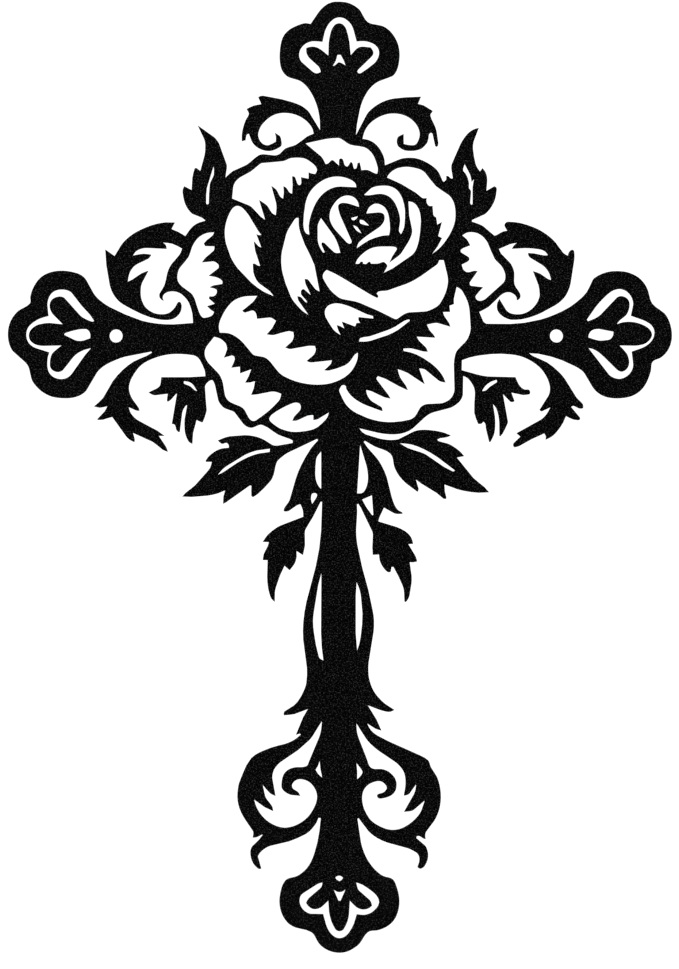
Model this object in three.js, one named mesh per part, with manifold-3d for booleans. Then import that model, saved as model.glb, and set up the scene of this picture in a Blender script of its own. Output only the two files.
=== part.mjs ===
// Flat wall cross cut from one steel sheet, with a rose over the crossing.
// Leaves and scrolls grow out of the rose along the arms, down the stem and round its foot,
// and each end of the cross is a three-lobed cap with slits that part its petals.
// Millimetres, +Z up. The back lies in the plane y = 0, against the wall, and the front faces -Y.
// The origin is on the back, where the stem's axis crosses the middle line of the arms.

import * as THREE from 'three';
import { mergeVertices } from 'three/addons/utils/BufferGeometryUtils.js';
import Module from 'manifold-3d';

// Driving sizes
const HEIGHT = 457;
const WIDTH = 319;
const SHEET = 2;
const SCREW_HOLE = 6.3;
const SCREW_SPACING = 211.6;
const SCREW_RISE = 1.45;
const SCREW_SHIFT = -1.56;
const CURVE_ERROR = 0.2;
const ROUND_SIDES = 32;
const STEPS_PER_CURVE = 12;
const WELD_DISTANCE = 0.001;

// The outlines are drawn on squares, which are stretched until the cross has its HEIGHT and WIDTH.
// Each point is "x,z": x is counted from the stem's axis, z from the line of the screws.
const ARMS_MIDDLE = new THREE.Vector2(0, -3);

const POWDER_COAT = new THREE.MeshStandardMaterial({ color: 0x0b0b0c, roughness: 0.6, metalness: 0.1 });

// A bar stands before each point where an outline has a corner, and its first point is one too.
// From corner to corner one smooth curve runs through the points.

// The outer edge, clockwise from the left side of the top end's neck, one motif at a time.
const OUTER_EDGE = {
  topEnd: `
    -19.5,206 -20,218 -22.5,230 -27,241 -33.5,250.5 -41,256 -49.5,258.5 -56.5,264 -59.8,275
    -59.3,289 -56,300 -50,306.5 -41,311 -34.5,312.8 | -29,312 -20,325 -12,332 -2,334.5
    8,333.3 15.5,330 21,325 25,317.8 30,313 38,311.3 46,308.5 53.5,301.5 58.7,291.5 60.2,281
    58,267.4 54.1,261.1 48,258 38.5,254.5 31.5,249 25.3,240 21.3,230 18.8,219 17.3,210`,
  upperRightScroll: `
    | 16.5,201 21,210 25.5,219 31,226 39,232 49,236.3 60,238.2 72,239 | 81.5,239.3 80.3,236
    | 78.5,232 84,230.7 89,227.8 | 93.3,225 | 91,220.5 93,215.5 95.5,210 97.5,203 98.7,195
    98.8,191.5 97.2,189.5 95.5,191 94.7,196 93.5,201 91.5,203.5 90,202.5 89.3,199 87.5,193
    83.5,188.5 77,185.8 70,185.3 63.5,186.5 58.8,190 57.3,195.5 59,199.5 62,201.3 | 64.2,202
    | 64.3,192 68,191.2 74.5,191 | 76,191.5 79.3,197 80.2,203 78.3,209.3 73.2,215.9 66.2,220.4
    57,222.7 47,222 37,217.8 28.5,210.5 24.5,203 | 23,197.2 29,196 36,192 41,186 44.5,178.5`,
  upperRightPetal: `
    | 45.5,170.7 52,173 60,176.7 70,178.3 80,176.8 90,172 97,166.5 101.5,159.5 | 103.2,155
    | 104.5,154.2 | 106.7,156.5 | 106.8,160 109,159.7 111,157.8`,
  upperRightLeaf: `
    | 113.5,157.7 112.3,164 112,170 113,174.5 116,181 120,190 125,198.5 130,204 134,206.5
    | 139.5,208.2 137,201.5 134.5,195 133.6,188 134.8,178 137,170 | 140.5,164.6 | 143,168
    146,164 147.8,157 147.5,150 | 147,145.2 151,147.7 | 155,149.8 156.5,149 157,144
    155.8,137 152,129 145.5,122 139,118.5 | 132.5,116 | 132.5,114.3 140,111.7 147,107.5
    152.5,102 155.2,100.5 158,101.5 163,104.3`,
  rightScroll: `
    | 168,105.2 166,108.5 165.2,111.5 167,113.7 171,114.3 180,113.2 191,110 201,105.5
    211,98.5 220,88.5 226.5,81 | 228.5,80.2 229,82.5 231,85.5 233.3,86.2 235,83 235,77
    234,68 232.5,58 230,48 226,39.7 220,33.5 210,27.3 200,22.2 190,18.5 180,16.4 170,16.7 163,20
    158.5,25 157.5,30 159,35.5 | 160,37 163,32.5 166,27 170,23.3 176,21.7 183,22.2 190,25.3
    196,31 199.7,38 200.2,46 198.5,53 196,59.5 | 193.7,64.8 198,63.5 203,61 208,57.3
    | 211.8,55.8 210.8,60.6 208,66 204,70.3 198.3,73.8 192.3,77.3 189,81 | 188.7,83 193,82.8
    200,81.5 206,80.5 | 208.8,80.8 206.5,84 202,86.3 195,87.5 186,88 176,87.6 | 172.5,87.3
    174,90 | 177.8,93.3 171,92 165,89.5 | 159.5,87 162,82 167,77 171.5,72 174.5,65 175,58
    175.3,51 178,46.5 181,41 180.7,38 | 177.5,35.5 177.3,38.5 175,41.5 170,43.8 165,43
    160,39.5 156,35.5 151,30.5 146,27 | 139.8,24 142,18.5 145,13.5`,
  rightArm: `
    | 147.5,12.2 160,12 175,12.2 190,14 205,17.6 218,22.6 230,28.8 241,37.2 249,46.6 253.5,56
    | 255,58 262,62 270,64.4 278,65 287,64 296,60.5 303,55 308,47 311,38 | 312.8,32.5
    318,28 324.3,23.3 329.3,16.2 332,7 332.5,-2 330,-11.7 325.3,-18.6 319.6,-23 | 313.2,-26
    311.5,-35 308,-45 302,-54 293,-60 282,-62.3 271,-62 261,-58.5 254,-52 249,-43.5 245,-37
    238,-31.5 230,-27.5 222,-24 213,-21 203,-18.5 195,-17.3`,
  rightLowerScroll: `
    | 189.5,-17.3 194,-20.3 200,-22.7 207,-26 215,-32 222,-38.5 229,-48.5 235,-58.5 240,-65
    | 243.3,-68 | 243.9,-71.5 | 243,-72.6 238,-71.8 233,-70.1 | 231.7,-71 236,-76.5
    | 240.5,-81.5 | 240.8,-83.5 | 239,-84.3 234,-83.6 229,-81.5 | 226.7,-80.1 225,-84.5
    221.5,-90.5 217,-96.5 212,-101 | 206.2,-103.9 206,-99 | 205,-97.5 200,-99.7 190,-104.5
    183,-108.5 178,-111 | 175,-111.5 173.8,-109.5 176,-105 | 181,-100.7 | 177,-97.3 185,-93
    195,-87.7 203,-82.5 208,-77 | 211,-71.5 207.5,-73 204,-75 201,-75 | 200.2,-73.8 204,-68
    208.5,-61 210.7,-53 209.5,-46 206,-38.5 200,-31 191,-24.5 182,-20.5 170,-18.3 158,-17.8
    145,-18.8 133,-20.8`,
  rightDroopingLeaf: `
    | 122.5,-24.3 | 122.3,-34.2 130,-36.5 140,-39 150,-40.7 160,-41.2 | 176,-41.2
    177.8,-45.5 180.5,-50 184,-53 | 189.3,-53.7 | 190.8,-56 | 190.3,-58.3 185,-59.2
    179,-58.3 | 172,-56.7 173,-60.5 | 175.2,-65.3 173,-66.2 170,-65 167,-62 | 163.5,-58
    165,-66 166.5,-75 168.5,-84 168,-88 165,-93.5 162.5,-99 | 160.8,-100.5 | 160,-99.5
    160,-90 159.3,-81 157.5,-74 155.5,-70 | 153.5,-68 154.8,-75 155.8,-84 155.5,-94
    153.8,-101 | 151,-106 | 149.8,-106 148.3,-99 146.3,-91 145.2,-86.5 | 144,-85.7
    142.5,-87.5 | 138.8,-88 137,-83 135.3,-79 135,-70 135.5,-60 135,-53 132.5,-47.5
    128.5,-42.5`,
  lowerRightRim: `
    | 123.8,-40 124,-48 123.8,-56 122,-63 117,-68.5 110,-72.3 100,-75 92,-77.2 86,-81
    80,-86.5 74,-92 67,-96.2 58,-98.3 48,-98.3 40,-97.2 30,-95`,
  lowerRightLeaf: `
    | 20,-92.5 24,-97 32,-100.3 42,-103 52,-104 60,-102.8 66,-100 72,-96.5 78,-94.3 84,-93.8
    92,-94.2 100,-95.5 107,-97.5 | 111.5,-99.5 107,-101.5 101,-102.3 | 98,-103.5 | 98.8,-105
    104,-106.3 110.4,-108.5 116.6,-112.3 121.6,-116.4 | 124.8,-120.3 121,-121.2 | 117.5,-121.7
    122,-127 128,-134.5 134,-142 140,-147.3 146,-152 148,-154.5 | 149.8,-156.5 140,-157
    130,-156 120,-154 111,-151 | 105,-148.7 105.3,-154 | 107,-162 | 106.3,-163.2 104,-162.8
    102,-161 97,-157 90,-152.5 83,-148.5 | 76.5,-143.7 78,-148.5 78.7,-155 | 78,-156
    73,-152.5 66,-147 60,-140.5 55,-131.5 52.5,-123.5`,
  rightStemLeaf: `
    | 51,-118 44,-114.5 36,-111 30,-107.7 | 25.5,-105 | 24.3,-106 28,-111.5 34,-118
    41,-127.5 46,-137.5 49,-147 51.5,-158 54.5,-167.5 58,-173.5 | 62.8,-176.5 | 63,-178
    57,-178 52,-176.3 47.5,-173.3 | 44.5,-171.8 42.5,-177 40,-181.5 | 39,-185.5 44,-187.3
    51,-189.2 58,-191.3 65,-194.8 70,-199 73,-204.5 | 73.8,-208 | 69,-208.3 73,-215
    76.5,-221 | 77.8,-225.5 74,-226.5 | 70.3,-226.3 71.3,-233 72.3,-241 71.7,-251 70.3,-259
    68.5,-263.5 | 66.3,-266.3 | 65,-265.5 64.7,-258 63,-249.5 60,-243 56,-236 | 54,-231.3
    | 52,-231.2 | 51.2,-235.8 48.5,-236.3 46,-234.5 42,-229 40,-224 | 39.5,-218.7
    | 33.2,-219 32.8,-210 33.3,-202 32.8,-196 31,-191.5 27,-184.5 23.5,-177 20.8,-171
    | 18.8,-168`,
  rightStem: `
    | 17.5,-168.5 17.8,-176 17.2,-184 16.7,-192 17.2,-203 19,-215 21.5,-226 24.5,-238
    27.5,-248 30,-259 33,-273 34.6,-284 34.3,-295 32.3,-307 30,-320 29,-331 29.3,-340
    32,-350.5 38,-360.5 45,-367.5 | 55,-374.2 52,-375.7 46,-375.7 40,-374 | 28.3,-369.5
    33,-377 37.5,-384.5 40.5,-391 | 42,-394.8 38,-393.8 33,-391.3`,
  lowerRightScroll: `
    | 27.8,-387.8 30,-392.5 34,-397 40,-401 50,-406 60,-410.5 70,-414.8 80,-419.5 86,-422.8
    | 88.7,-424.5 90,-428 93,-434 97,-440 99.7,-447 101.2,-455 101.5,-462 100.4,-471.2 97.6,-479.9
    93.1,-487.5 88.6,-493 86.7,-496 | 86.3,-503.3 83.5,-502.5 80,-500.3 | 77.5,-500.3
    | 76.8,-502.3 80,-505 84.5,-508.5 87.7,-513.5 88.8,-519.5 87.5,-526 84.5,-531
    80.5,-532.8 | 78,-531.3 79.5,-527 79.8,-522 78,-518 74,-515 67,-512 58,-509.5 50,-507.5
    42,-504.5 35,-500.5 29,-495.5 24,-489 | 19,-482.3`,
  foot: `
    | 18,-483 18.8,-490 20,-499 22,-508.5 25.5,-519 30.5,-528 37,-535.5 44,-540.5 50,-542.5
    | 53.3,-543.7 56.5,-549.5 59,-557 60,-566 58.5,-576 54,-585 47,-591 39,-594.3
    | 28.7,-596.2 24.5,-601.5 20,-607.8 14,-612.7 7,-616 0,-617 -8,-615.8 -15.5,-612.3
    -21.5,-606.5 -26,-599.5 | -28,-596.5 -34,-595 -42,-592.5 -50,-588.5 -56,-581.5
    -59.3,-573 -60.2,-564 -58.8,-554.5 -55.5,-546.5 -51.5,-543 -46,-541.7 -40,-539
    -33.5,-533.5 -28.5,-526 -25,-517 -22.3,-507 -20.3,-496 -19.2,-487`,
  lowerLeftScroll: `
    | -18.8,-482.3 | -21,-482 -22.5,-486 -25.5,-490.5 -30,-495.5 -37,-500 -44,-503
    -50,-505.5 -57,-507 -64,-508.5 -71,-510.8 -77,-514.5 -80.5,-518.5 -81.5,-521 -80.5,-525
    -78.8,-530 | -78.3,-532.8 -79.5,-533.2 -82.5,-532 -86,-528 -88.5,-522.5 -89.3,-517
    -88.5,-512.5 -86,-509 -82,-505.5 -79,-502 | -77,-499.3 | -77.5,-498.7 -80,-500 -83,-501.5
    | -87,-501.8 -86.3,-498 -86.8,-495 -89,-491.5 -93,-486 -97,-479.5 -100.5,-471.5
    -102.2,-463 -102,-455 -100.5,-447 -97.5,-440 -94,-434 -91.5,-429 -90,-425 | -88.5,-422.5
    -84,-420 -77,-416.5 -70,-412.5 -62,-410 -54,-408 -48,-405.5 -43,-402.5 | -38.7,-398.8`,
  leftStem: `
    | -39.5,-397.8 -42,-398.8 | -43.7,-399 -41.5,-393 -38.5,-386 -35,-378.5 | -31.7,-373.3
    -36,-374.5 -43,-377.7 -49,-379 | -55.7,-379.5 -55.8,-377 -54,-374.7 -50,-372.5 -45,-369
    -40,-363 -36.5,-356.5 -34,-350 -32.8,-343 -32.6,-336 -33,-328 -34.5,-318 -36,-308
    -36.7,-298 -36.3,-286 -35,-276 -33,-265 -30.5,-255 -28.5,-247 -26,-238.5 -23.5,-229
    -21.5,-219 -20,-210 -18.8,-199 -18.2,-189 -17.8,-178`,
  leftStemLeaf: `
    | -17.5,-166 | -18.8,-165.8 -20.5,-169 -23.5,-175 -27,-182 -31,-188 -33.5,-192.5
    -34.7,-198 -34.3,-205 -34.8,-212 | -36.5,-219.3 -39.5,-217.5 | -43,-215.2 -43,-222
    -44.5,-227 -47,-231 | -49.8,-234.5 -52,-232.3 | -55,-230 -57,-234 -60,-241 -62.5,-248
    -64.5,-256 -64.8,-262 | -64.8,-266 -68,-263 -70.5,-257 -72,-249 -72.5,-238 | -72,-224.3
    | -76.8,-224.2 -76.5,-220.5 -75,-216 -72,-210.5 | -70.8,-206.3 | -77,-206 -73,-200
    -67,-194.5 -60,-190 -52,-187 -44,-184 | -36.3,-180.8 -36.3,-178.5 -37,-173.5
    | -39.3,-168.3 -43,-169.8 -48,-173.5 -52,-175.5 | -56,-175.3 -55.5,-172.5 -52,-167.5
    -49.3,-162 -47.2,-154 -45.2,-147 -42.9,-140 -39.5,-131.5 -36.2,-125 -32.3,-118.5
    -28,-111.5 -24,-107 | -21.5,-104.3`,
  lowerLeftLeaf: `
    | -22.5,-103 -29,-106 -36,-109.5 -44,-113 -51,-116.5 -57,-120.5 | -62.8,-126.5
    -64.5,-134 -66.5,-140.5 -70,-146.5 -75,-151.5 -80,-156.5 -84.5,-160.3 | -86.5,-161.3
    | -88.2,-160 | -88.2,-150 | -89.8,-149.7 -95,-153 -102,-158 -109,-163 -113.5,-166.5
    | -116.5,-168 -116.5,-163 | -114.5,-154.5 -118,-156.3 -125,-158.5 -133,-160 -142,-160.8
    -150,-161.2 | -157.5,-160.7 -153,-156 -147,-151.5 -141,-145.5 -135,-138.5 -130,-132.5
    | -127.8,-126 | -133.5,-126 | -134,-125 -131.5,-121 -127.5,-117.5 -122,-114 -116,-112.2
    | -110.8,-111.8 -111,-109 -113.5,-107 -117,-108 -119.5,-107 | -121.8,-104.5 -116,-102
    -108,-100 -100,-99.2 -92,-99.3 -84,-100.5 -77,-103 -71,-106.5 -66,-109.3 -60,-109.3
    -53,-107.7`,
  lowerLeftRim: `
    | -47,-107 | -46.8,-104.8 -50,-103 -57,-100.8 -63,-98 -69,-94.5 -74,-91 | -77.5,-89
    -81,-89.8 -86,-91.5 -90,-91.8 -94,-90 -98,-86 -101,-81.5 -104.5,-77 -109,-74.5
    -114,-72.8 -118.5,-69.3 -121.5,-64 -123,-58 -124.5,-50`,
  leftDroopingLeaf: `
    | -126.5,-45 | -128.5,-44.2 -132,-46.3 -134.5,-50.5 -134.6,-56 -134,-63 -133,-70
    -133.3,-76 -135,-81 | -136.8,-86 | -138.5,-86.3 -140.5,-85.5 | -143,-84 -144.5,-89
    -146.5,-97 -147.2,-103 | -147.3,-108 -149.5,-107 -152.5,-103 -154.5,-97 -155.3,-88
    -154.5,-79 | -152.5,-69.5 | -153.5,-69.3 -156.5,-74 -158,-80 -158.8,-88 | -159.8,-95.5
    | -161,-96.3 -163,-94.5 -164.2,-91 | -164.8,-89 | -167.8,-88 -167,-83 -165.5,-75
    -164,-67 | -162.7,-57.8 | -163.5,-57.8 -166,-60.5 -169,-64 | -171.8,-65.8 | -172.7,-64.5
    -172.5,-61 | -171.8,-57.8 -179,-58.7 -185,-59.3 -188,-58.5 | -191.2,-56.5 -187,-54.5
    -183,-52.5 -180,-50 -178.8,-46 | -178.3,-41.2 -168,-41 -155,-41.2 -145,-41`,
  leftLowerScroll: `
    | -134.3,-40.3 -134.3,-37 -135.5,-33 -138,-27.5 -141,-22.5 -144.5,-20 -150,-18.7
    -160,-18 -170,-18.3 -178,-19.8 -186,-22.3 -194,-26 -200,-30.5 -205,-37 -209,-44
    -210.7,-51 -210,-57 -207,-63.5 -203,-69 -200.5,-73 | -200.2,-74.8 -202,-75 -205,-74
    | -211,-71.3 -209,-77 -205,-81.5 -200,-85.5 -194,-88.5 -188,-91.5 -182,-94.8 -178,-97.5
    | -175,-100 | -180.8,-100 -177,-106 -173.5,-111 | -171.8,-116 -176,-114.5 -181,-110.5
    -187,-106 -193,-103.5 -199,-101 | -206.8,-97 -206,-100 -205,-103 | -205.3,-106.3
    -209,-104.5 -214,-100 -218,-94.5 -222,-89 | -227.5,-81 -232,-82.3 -238,-84 | -242,-84
    | -242.2,-83 -239,-79.5 -235.5,-76 | -232.3,-70.3 -237,-71.5 -241,-71.8 | -245.7,-70.5
    -242,-67 -237,-62.5 -233,-56 -229,-48.5 -224,-41.5 -218,-35 -211,-29 -203,-24
    -195,-20.8 | -187.8,-16.8`,
  leftArm: `
    | -188,-15.5 -196,-17 -205,-18.5 -215,-20.8 -224,-24 -232,-27.7 -239,-32.5 -244.5,-39
    -249,-47 -253,-54 -259,-59 -267,-61.8 -277,-62.3 -287,-61 -296,-57 -303,-51 -308,-43.5
    -310,-35 -312,-29.5 -316,-25 -321,-21 -327,-15 -331,-6 -331.8,2 -330.5,11 -326,20
    -319,27 -313,30.8 | -309.8,32.5 -309,41 -305.5,50 -299,58.5 -289,63.8 -277,65.3
    -266,63.8 -257,60 -252.5,54.5 -249,47.5 -243.5,39.5 -237,33.5 -229,28.5 -220,24
    -210,19.8 -200,16 -188,13.2 -172,11.6 -160,11.8`,
  leftScroll: `
    | -146.6,13 -146.8,19 -148.5,27 -151,33.5 -156,40 -161.5,43.6 -167,44.7 -173,43.6
    -176.5,40.5 | -175.7,35.2 -178.5,36.5 -180.3,40 -179,44.5 -175.5,50 -173.7,56.5
    -172.3,63 -169,70.5 -163.5,77.3 -159.3,82.5 | -157.5,87.5 -161.5,89.5 -166,91.8
    -171,93.1 | -177,93.5 -173.5,90.5 | -173,87.2 -181,87.5 -190,88 -198,87.5 -203,85.3
    | -207,80.3 -201,81.7 -194,82.3 | -188.3,81.3 -191,77.7 -196,75.2 -202,72.3 -207,68.3
    -210.5,62 | -212,54.2 -207.5,56.3 -202,60.2 -197,63.2 | -191.3,65.2 -194,59.5
    -197.5,53.5 -199,46.5 -198.6,38.5 -196,31.5 -191,26 -184,22.5 -177,21.7 -170,23.5
    -166,27 -163,31.3 -160.3,34.2 -158.5,32.5 -158,28.5 -159,24.5 -162,20.2 -167,17 -174,16
    -183,17 -192,19.5 -201,23.2 -210,27.8 -219,33.2 -225,39.5 -229.5,49.5 -232,61.5
    -233.7,74 | -234.4,86.6 | -225,80 -222,84.7 -219,90 -213,97 -205,103 -197,107.2
    -188,110.7 -180,112.8`,
  upperLeftLeaf: `
    | -164.8,113.5 | -168.2,107 -161,104 | -154.2,100 -150.5,105.5 -145,111 -139,114
    | -134,115.4 -139,119 -146,121.5 -151,126 -154.5,132 -156.5,140 -156.7,147 | -155.3,149.8
    -152,147.7 | -148,146 -147.8,152 -147,160 -145.5,166 -144,168 -141.5,167 | -139.3,165
    -137.5,172 -135,181 -134.3,190 -135.2,196 -138,202 | -142,210.7 -136,206.5 -129.5,202
    -125,198.5 -119.5,190.5 -116,181 -113.3,173.5 -112.8,168 -114,161`,
  upperLeftScroll: `
    | -114.2,158.3 -111,161 -108,164 -100,168 -91,172.5 -85,178 -79,181.3 -70,181.2 -63,180.8
    -59.5,182.5 -55,187 -48,189.7 -43.5,191.3 -36,197 -30,200.8 | -26,202.2 -26.3,205 -28,209
    -34,216 -42,220.8 -50,223 -57,223.3 -66,221.2 -74,215.5 -80,207.5 -81.2,200 -79,194.5
    -75,191.3 -71,190.8 -67.5,192.5 | -63.8,194.3 -63.6,198 | -64.7,203.2 -62,201.5 -60,200.3
    -58.2,196 | -58.2,190.7 -64,186.8 -71,185.2 -79,187 -86,192 -89.8,199.5 | -90.8,202.5
    -92.5,201.8 -93.8,199 | -94,196 | -97.8,195 -97.8,201 -96,210 -93,218 | -90.8,222
    | -92.9,227 -86,230.3 | -78.2,231.8 | -81.3,238.8 -80,239.6 -70,238.9 -58,236.8 -47,233.8
    -37,229.5 -29,222 -24,213`,
};

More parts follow.
